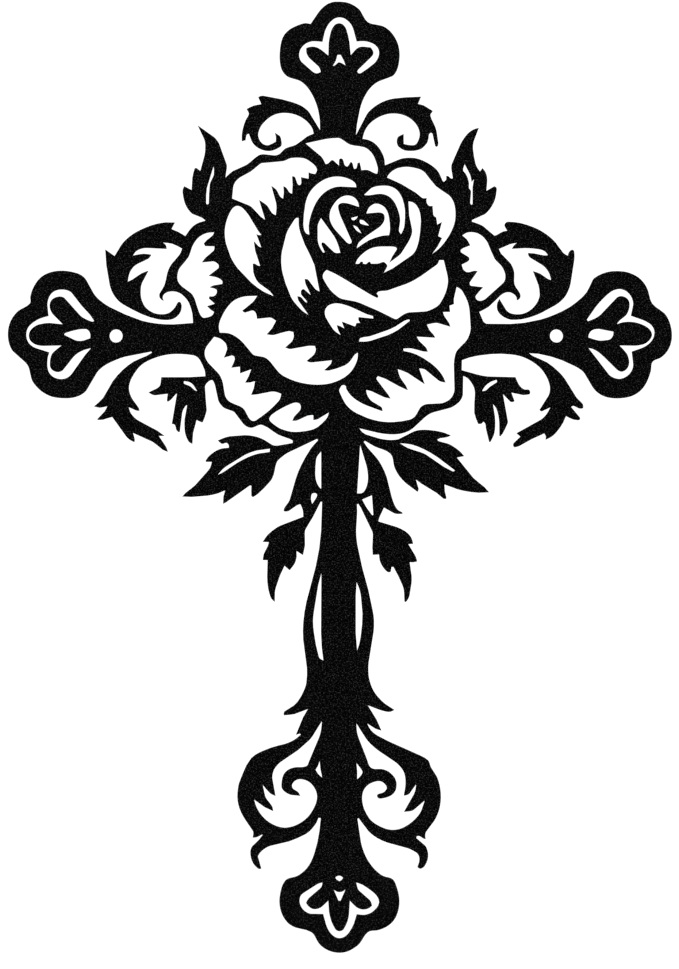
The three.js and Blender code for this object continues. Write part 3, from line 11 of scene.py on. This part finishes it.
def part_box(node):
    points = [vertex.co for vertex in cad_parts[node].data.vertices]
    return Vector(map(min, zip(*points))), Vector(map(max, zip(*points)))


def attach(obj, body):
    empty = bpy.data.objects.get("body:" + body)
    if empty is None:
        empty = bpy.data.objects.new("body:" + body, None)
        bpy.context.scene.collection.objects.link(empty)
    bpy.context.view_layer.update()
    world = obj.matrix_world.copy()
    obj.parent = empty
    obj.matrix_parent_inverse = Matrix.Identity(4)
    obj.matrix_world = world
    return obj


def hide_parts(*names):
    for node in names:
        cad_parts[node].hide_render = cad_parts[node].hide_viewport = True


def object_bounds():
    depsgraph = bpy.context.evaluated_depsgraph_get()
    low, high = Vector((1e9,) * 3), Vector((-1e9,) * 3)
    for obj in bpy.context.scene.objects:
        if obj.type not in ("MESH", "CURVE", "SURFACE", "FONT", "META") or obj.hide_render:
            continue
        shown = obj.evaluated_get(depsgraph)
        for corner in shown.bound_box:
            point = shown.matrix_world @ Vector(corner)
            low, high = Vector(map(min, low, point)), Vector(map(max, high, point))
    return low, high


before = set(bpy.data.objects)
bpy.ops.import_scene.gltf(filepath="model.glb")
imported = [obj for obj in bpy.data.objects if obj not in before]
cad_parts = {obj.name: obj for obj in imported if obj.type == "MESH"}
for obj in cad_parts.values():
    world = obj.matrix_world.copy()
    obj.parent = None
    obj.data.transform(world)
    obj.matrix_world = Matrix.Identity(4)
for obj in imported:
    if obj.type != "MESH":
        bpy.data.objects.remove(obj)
cad_low, cad_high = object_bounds()

MM = 0.001

# The coated plate: its edges are rounded by the coating, and its curves are finer than the frame's
PLATE = "rose_cross_plate"
EDGE_ROUND = 0.3 * MM
ROUND_STEPS = 3
CORNER_TURN = math.radians(62)
FINE_TURN = math.radians(7)
MOST_STEPS = 8
MITRE_LIMIT = 2.0

# Where the rounding of points at most this many steps apart would meet, it keeps to this share of the way
TIP_POINTS = 24
TIP_SHARE = 0.8

# A corner this close to the front is on it, and corners alike to these decimals of a millimetre are one
FRONT_TOLERANCE = 0.01 * MM
SPOT_DECIMALS = 3

# A step shorter than this has no direction of its own
NO_LENGTH = 1e-6

# The photograph's frame
IMAGE_WIDTH = 679
IMAGE_HEIGHT = 969
SENSOR = 36.0 * MM
LENS = 90.0 * MM
CROSS_HIGH_PIXELS = 951.5
LEFT_MARGIN_PIXELS = 7.7
TOP_MARGIN_PIXELS = 1.5

# The coat: fine pebbles, paler specks on black, and a sheen that drifts slowly over the plate
PEBBLE_SIZE = 0.8 * MM
PEBBLE_DEPTH = 0.16 * MM
PEBBLE_STRENGTH = 0.9
SPECK_SIZE = 0.65 * MM
SPECK_DETAIL = 1.0
SPECK_HEIGHT = 0.5
SPECK_STARTS = 0.55
SPECK_FULL = 0.72
COAT_BLACK = (0, 0, 0, 1)
COAT_SPECK = (0.048, 0.048, 0.049, 1)
SPECULAR = 0.12
SHEEN_DRIFT = 35 * MM
ROUGHNESS_LOW = 0.26
ROUGHNESS_HIGH = 0.36

# The cross hangs high over the floor, which runs out into a surround of the same white
FLOOR_GAP = 3.0
FLOOR_SIZE = 40.0
FLOOR_COLOR = (0.97, 0.97, 0.97, 1)
SURROUND_LEVEL = 1.15

# A black card hangs in front of the cross and one behind, unseen by the camera, to keep its faces dark
CARD_DISTANCE = 1.5
CARD_SIZE = 2.4
CARD_COLOR = (0.01, 0.01, 0.01, 1)
PLAIN_ROUGHNESS = 0.9

# Two soft lamps, one before and one behind: where each stands, its width and height, and its watts
FRONT_LAMP = ((-0.9, -0.6, 1.2), (0.6, 0.5), 9)
BACK_LAMP = ((0.5, 1.3, 1.5), (0.9, 0.7), 10)


def front_loops(mesh):
    """The closed outlines of the plate's front face, as lists of (x, z) with the metal on their left."""
    front_y = min(vertex.co.y for vertex in mesh.vertices)
    spot = {}
    follows = {}
    for face in mesh.polygons:
        corners = [mesh.vertices[index].co for index in face.vertices]
        if max(abs(corner.y - front_y) for corner in corners) > FRONT_TOLERANCE:
            continue
        keys = [tuple(round(value / MM, SPOT_DECIMALS) for value in corner.xz) for corner in corners]
        for key, corner in zip(keys, corners):
            spot[key] = corner.xz
        for start, end in zip(keys, keys[1:] + keys[:1]):
            if start in follows.get(end, ()):
                follows[end].remove(start)
            else:
                follows.setdefault(start, []).append(end)
    loops = []
    while True:
        start = next((key for key, ends in follows.items() if ends), None)
        if start is None:
            return loops
        loop = []
        key = start
        while follows[key]:
            loop.append(spot[key])
            key = follows[key].pop()
        loops.append(loop)


def signed_turn(before, after):
    """The angle from one direction to the next, positive to the left."""
    return math.atan2(before.x * after.y - before.y * after.x, before.dot(after))


def smoothed(loop):
    """The loop with fine steps along its curves; its corners and straight edges stay as they are."""
    count = len(loop)
    edges = [loop[(i + 1) % count] - loop[i] for i in range(count)]
    corner = [abs(signed_turn(edges[i - 1], edges[i])) > CORNER_TURN for i in range(count)]
    heading = [(edges[i - 1] + edges[i]).normalized() for i in range(count)]
    fine = []
    for i in range(count):
        j = (i + 1) % count
        edge = edges[i]
        leave = edge.normalized() if corner[i] else heading[i]
        arrive = edge.normalized() if corner[j] else heading[j]
        bend = abs(signed_turn(leave, edge)) + abs(signed_turn(edge, arrive))
        steps = max(1, min(MOST_STEPS, math.ceil(bend / FINE_TURN)))
        for step in range(steps):
            t = step / steps
            t2, t3 = t * t, t * t * t
            point = loop[i] * (2 * t3 - 3 * t2 + 1) + loop[j] * (3 * t2 - 2 * t3)
            point += leave * edge.length * (t3 - 2 * t2 + t) + arrive * edge.length * (t3 - t2)
            fine.append(point)
    return fine


def inset_directions(loop):
    """For each point, the step into the metal that moves both its edges in by one unit."""
    count = len(loop)
    steps = []
    for i in range(count):
        before = (loop[i] - loop[i - 1]).normalized()
        after = (loop[(i + 1) % count] - loop[i]).normalized()
        inward = Vector((-before.y - after.y, before.x + after.x))
        if inward.length < NO_LENGTH:
            inward = before
        inward.normalize()
        across = inward.dot(Vector((-after.y, after.x)))
        steps.append(inward / max(across, 1 / MITRE_LIMIT))
    return steps


def shortened_at_tips(loop, steps):
    """The steps, made shorter where two would cross within the edge's rounding, as at a thin tip."""
    count = len(loop)
    ends = [point + step * EDGE_ROUND for point, step in zip(loop, steps)]
    share = [1.0] * count
    for i in range(count):
        for j in range(i + 1, i + 1 + min(TIP_POINTS, count // 2)):
            j %= count
            meeting = intersect_line_line_2d(loop[i], ends[i], loop[j], ends[j])
            if meeting is None:
                continue
            for k in (i, j):
                free = (meeting - loop[k]).length / (ends[k] - loop[k]).length
                share[k] = min(share[k], TIP_SHARE * free)
    return [step * part for step, part in zip(steps, share)]


def rounded_plate(loops, back_y, front_y):
    """One closed mesh of the plate with a rounded edge along every outline, front and back."""
    profile = []
    for step in range(ROUND_STEPS + 1):
        angle = math.pi / 2 * step / ROUND_STEPS
        profile.append((EDGE_ROUND * (1 - math.sin(angle)), EDGE_ROUND * (1 - math.cos(angle))))
    section = [(inset, front_y + depth) for inset, depth in profile]
    section += [(inset, back_y - depth) for inset, depth in reversed(profile)]

    mesh = bmesh.new()
    front_edges, back_edges = [], []
    for loop in loops:
        directions = shortened_at_tips(loop, inset_directions(loop))
        rings = []
        for inset, y in section:
            points = [point + step * inset for point, step in zip(loop, directions)]
            rings.append([mesh.verts.new((point.x, y, point.y)) for point in points])
        count = len(loop)
        for ring, behind in zip(rings, rings[1:]):
            for i in range(count):
                j = (i + 1) % count
                wall = mesh.faces.new((ring[i], behind[i], behind[j], ring[j]))
                wall.smooth = True
        for ring, edges in ((rings[0], front_edges), (rings[-1], back_edges)):
            edges += [mesh.edges.get((ring[i], ring[(i + 1) % count])) for i in range(count)]
    for edges, normal in ((front_edges, (0, -1, 0)), (back_edges, (0, 1, 0))):
        bmesh.ops.triangle_fill(mesh, edges=edges, normal=normal, use_beauty=True)
    bmesh.ops.recalc_face_normals(mesh, faces=mesh.faces)
    return mesh


def powder_coat():
    """Fine-textured black powder coat: a pebbled skin with slightly paler specks and a low sheen."""
    material = bpy.data.materials.new("black_powder_coat")
    material.use_nodes = True
    nodes, links = material.node_tree.nodes, material.node_tree.links
    shader = nodes["Principled BSDF"]
    shader.inputs["Metallic"].default_value = 0.0
    shader.inputs["Specular IOR Level"].default_value = SPECULAR
    place = nodes.new("ShaderNodeTexCoord")

    pebble = nodes.new("ShaderNodeTexVoronoi")
    pebble.inputs["Scale"].default_value = 1 / PEBBLE_SIZE
    pebble.feature = "SMOOTH_F1"
    speck = nodes.new("ShaderNodeTexNoise")
    speck.inputs["Scale"].default_value = 1 / SPECK_SIZE
    speck.inputs["Detail"].default_value = SPECK_DETAIL
    drift = nodes.new("ShaderNodeTexNoise")
    drift.inputs["Scale"].default_value = 1 / SHEEN_DRIFT
    for texture in (pebble, speck, drift):
        links.new(place.outputs["Object"], texture.inputs["Vector"])

    tone = nodes.new("ShaderNodeValToRGB")
    tone.color_ramp.elements[0].position = SPECK_STARTS
    tone.color_ramp.elements[0].color = COAT_BLACK
    tone.color_ramp.elements[1].position = SPECK_FULL
    tone.color_ramp.elements[1].color = COAT_SPECK
    links.new(speck.outputs["Fac"], tone.inputs["Fac"])
    links.new(tone.outputs["Color"], shader.inputs["Base Color"])

    sheen = nodes.new("ShaderNodeMapRange")
    sheen.inputs["To Min"].default_value = ROUGHNESS_LOW
    sheen.inputs["To Max"].default_value = ROUGHNESS_HIGH
    links.new(drift.outputs["Fac"], sheen.inputs["Value"])
    links.new(sheen.outputs["Result"], shader.inputs["Roughness"])

    height = nodes.new("ShaderNodeMath")
    height.operation = "MULTIPLY_ADD"
    height.inputs[1].default_value = SPECK_HEIGHT
    links.new(speck.outputs["Fac"], height.inputs[0])
    links.new(pebble.outputs["Distance"], height.inputs[2])
    relief = nodes.new("ShaderNodeBump")
    relief.inputs["Strength"].default_value = PEBBLE_STRENGTH
    relief.inputs["Distance"].default_value = PEBBLE_DEPTH
    links.new(height.outputs["Value"], relief.inputs["Height"])
    links.new(relief.outputs["Normal"], shader.inputs["Normal"])
    return material


def coated_plate():
    """The dressed plate, made from the front outlines of the frame's own solid."""
    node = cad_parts[PLATE]
    low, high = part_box(PLATE)
    loops = [smoothed(loop) for loop in front_loops(node.data)]
    shape = rounded_plate(loops, high[1], low[1])
    mesh = bpy.data.meshes.new("coated_rose_cross")
    shape.to_mesh(mesh)
    shape.free()
    plate = bpy.data.objects.new("coated_rose_cross", mesh)
    bpy.context.scene.collection.objects.link(plate)
    mesh.materials.append(powder_coat())
    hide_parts(PLATE)
    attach(plate, "root")


def square(size):
    """The corners of a square about the origin, in order."""
    half = size / 2
    return ((-half, -half), (half, -half), (half, half), (-half, half))


def plain_surface(name, corners, color):
    mesh = bpy.data.meshes.new(name)
    mesh.from_pydata(corners, [], [(0, 1, 2, 3)])
    surface = bpy.data.objects.new(name, mesh)
    bpy.context.scene.collection.objects.link(surface)
    material = bpy.data.materials.new(name)
    material.use_nodes = True
    shader = material.node_tree.nodes["Principled BSDF"]
    shader.inputs["Base Color"].default_value = color
    shader.inputs["Roughness"].default_value = PLAIN_ROUGHNESS
    mesh.materials.append(material)
    return surface


def pale_floor():
    top = cad_low.z - FLOOR_GAP
    plain_surface("pale_floor", [(x, y, top) for x, y in square(FLOOR_SIZE)], FLOOR_COLOR)


def black_card(name, y):
    """A card across the Y axis that darkens what the plate mirrors."""
    card = plain_surface(name, [(x, y, z) for x, z in square(CARD_SIZE)], CARD_COLOR)
    card.visible_camera = False


def soft_lamp(name, place, size, watts):
    """An area light that shines on the origin."""
    light = bpy.data.lights.new(name, "AREA")
    light.shape = "RECTANGLE"
    light.size, light.size_y = size
    light.energy = watts
    lamp = bpy.data.objects.new(name, light)
    lamp.location = place
    lamp.rotation_euler = (-Vector(place)).to_track_quat("-Z", "Y").to_euler()
    bpy.context.scene.collection.objects.link(lamp)


def surround():
    """Even white light from all round."""
    world = bpy.data.worlds.new("studio")
    world.use_nodes = True
    background = world.node_tree.nodes["Background"]
    background.inputs["Color"].default_value = (1, 1, 1, 1)
    background.inputs["Strength"].default_value = SURROUND_LEVEL
    bpy.context.scene.world = world
    bpy.context.scene.view_settings.view_transform = "Standard"


def camera():
    """Square on to the front, with the cross at the photograph's size and place in the frame."""
    per_pixel = (cad_high.z - cad_low.z) / CROSS_HIGH_PIXELS
    view_high = per_pixel * IMAGE_HEIGHT
    left = cad_low.x - LEFT_MARGIN_PIXELS * per_pixel
    top = cad_high.z + TOP_MARGIN_PIXELS * per_pixel
    middle = Vector((left + IMAGE_WIDTH / 2 * per_pixel, cad_low.y, top - view_high / 2))
    data = bpy.data.cameras.new("camera")
    data.sensor_width = SENSOR / MM
    data.lens = LENS / MM
    distance = view_high * LENS / SENSOR
    eye = bpy.data.objects.new("camera", data)
    eye.location = middle - Vector((0, distance, 0))
    eye.rotation_euler = (math.pi / 2, 0, 0)
    bpy.context.scene.collection.objects.link(eye)
    bpy.context.scene.camera = eye


camera()
coated_plate()
pale_floor()
black_card("front_card", -CARD_DISTANCE)
black_card("back_card", CARD_DISTANCE)
surround()
soft_lamp("front_lamp", *FRONT_LAMP)
soft_lamp("back_lamp", *BACK_LAMP)

bpy.context.view_layer.update()
